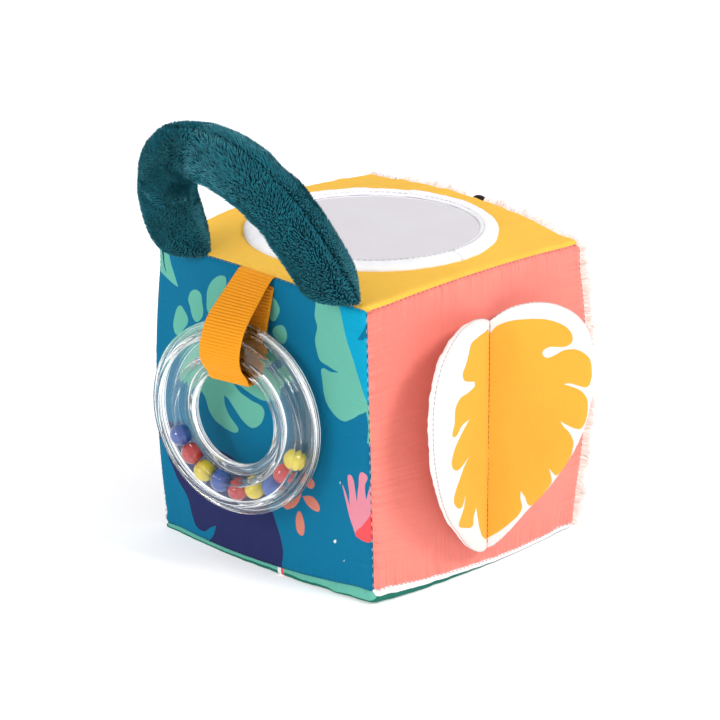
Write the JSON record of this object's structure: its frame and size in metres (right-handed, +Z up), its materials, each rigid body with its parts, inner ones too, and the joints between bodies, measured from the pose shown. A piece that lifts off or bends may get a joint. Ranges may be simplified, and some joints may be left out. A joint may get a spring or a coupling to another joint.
{
  "type": "activity cube",
  "caption": "Soft stuffed fabric cube for a baby, with a plush arch handle, a bead-filled clear rattle ring on a ribbon, a top mirror and a padded leaf that folds at its midrib.",
  "frame": {"origin": "middle of the flat underside, on the surface the cube rests on", "axes": "+Z up; -Y is the printed face with the ribbon and ring; +X is the face with the leaf; +Y is the plush face"},
  "size_m": [0.1597, 0.1776, 0.1962],
  "materials": {
    "cotton_blue": "printed cotton, matt",
    "cotton_coral": "plain woven cotton, matt",
    "cotton_yellow": "plain woven cotton, matt",
    "plush_white": "long soft pile",
    "cotton_navy": "plain woven cotton, matt",
    "cotton_green": "printed cotton, matt",
    "fibre_filling": "loose polyester fibre",
    "mirror_film": "polished flexible mirror sheet",
    "binding_white": "woven bias tape",
    "plush_teal": "short soft pile",
    "ribbon_yellow": "ribbed grosgrain",
    "clear_plastic": "clear, polished",
    "bead_blue": "glossy",
    "bead_red": "glossy",
    "bead_yellow": "glossy",
    "leaf_print": "printed cotton, matt",
    "leaf_white": "plain woven cotton, matt",
    "crinkle_film": "thin crackling film",
    "felt_black": "felt"
  },
  "bodies": {
    "cube": {"cover_front_printed": "cotton_blue", "cover_right": "cotton_coral", "cover_back_plush": "plush_white", "cover_left": "cotton_navy", "cover_top": "cotton_yellow", "cover_bottom": "cotton_green", "cube_filling": "fibre_filling", "mirror_backing_pad": "fibre_filling", "mirror_disc": "mirror_film", "mirror_binding_ring": "binding_white", "leaf_midrib": "leaf_print", "back_tab": "felt_black", "sewn_in_label": "binding_white"},
    "handle": {"handle_sleeve": "plush_teal", "handle_filling": "fibre_filling"},
    "ribbon": {"ribbon_loop": "ribbon_yellow"},
    "ring": {"ring_shell_front": "clear_plastic", "ring_shell_rear": "clear_plastic"},
    "beads": {"rattle_bead_1": "bead_blue", "rattle_bead_2": "bead_red", "rattle_bead_3": "bead_yellow", "rattle_bead_4": "bead_blue", "rattle_bead_5": "bead_red", "rattle_bead_6": "bead_yellow", "rattle_bead_7": "bead_blue", "rattle_bead_8": "bead_red", "rattle_bead_9": "bead_yellow"},
    "leaf_left": {"leaf_left_front": "leaf_print", "leaf_left_wadding": "fibre_filling", "leaf_left_crinkle_film": "crinkle_film", "leaf_left_back": "leaf_white"},
    "leaf_right": {"leaf_right_front": "leaf_print", "leaf_right_wadding": "fibre_filling", "leaf_right_crinkle_film": "crinkle_film", "leaf_right_back": "leaf_white"}
  },
  "joints": [
    {"name": "handle_swing", "type": "hinge", "parent": "cube", "child": "handle", "pos_m": [0, -0.065, 0.1305], "axis": [1, 0, 0], "range_deg": [-76, 30], "stiffness_Nm_per_rad": 0.15},
    {"name": "ribbon_swing", "type": "hinge", "parent": "cube", "child": "ribbon", "pos_m": [0.001, -0.065, 0.1305], "axis": [-1, 0, 0], "range_deg": [0, 65]},
    {"name": "ring_turn", "type": "hinge", "parent": "ribbon", "child": "ring", "pos_m": [0.0019, -0.08, 0.0715], "axis": [0.1736, -0.9848, 0], "continuous": true},
    {"name": "beads_roll", "type": "hinge", "parent": "ring", "child": "beads", "pos_m": [0.0019, -0.08, 0.0715], "axis": [0.1736, -0.9848, 0], "continuous": true},
    {"name": "leaf_left_fold", "type": "hinge", "parent": "cube", "child": "leaf_left", "pos_m": [0.0699, -0.0016, 0.061], "axis": [0, 0, 1], "range_deg": [-10, 50]},
    {"name": "leaf_right_fold", "type": "hinge", "parent": "cube", "child": "leaf_right", "pos_m": [0.0699, -0.0016, 0.061], "axis": [0, 0, -1], "range_deg": [-10, 50]}
  ]
}
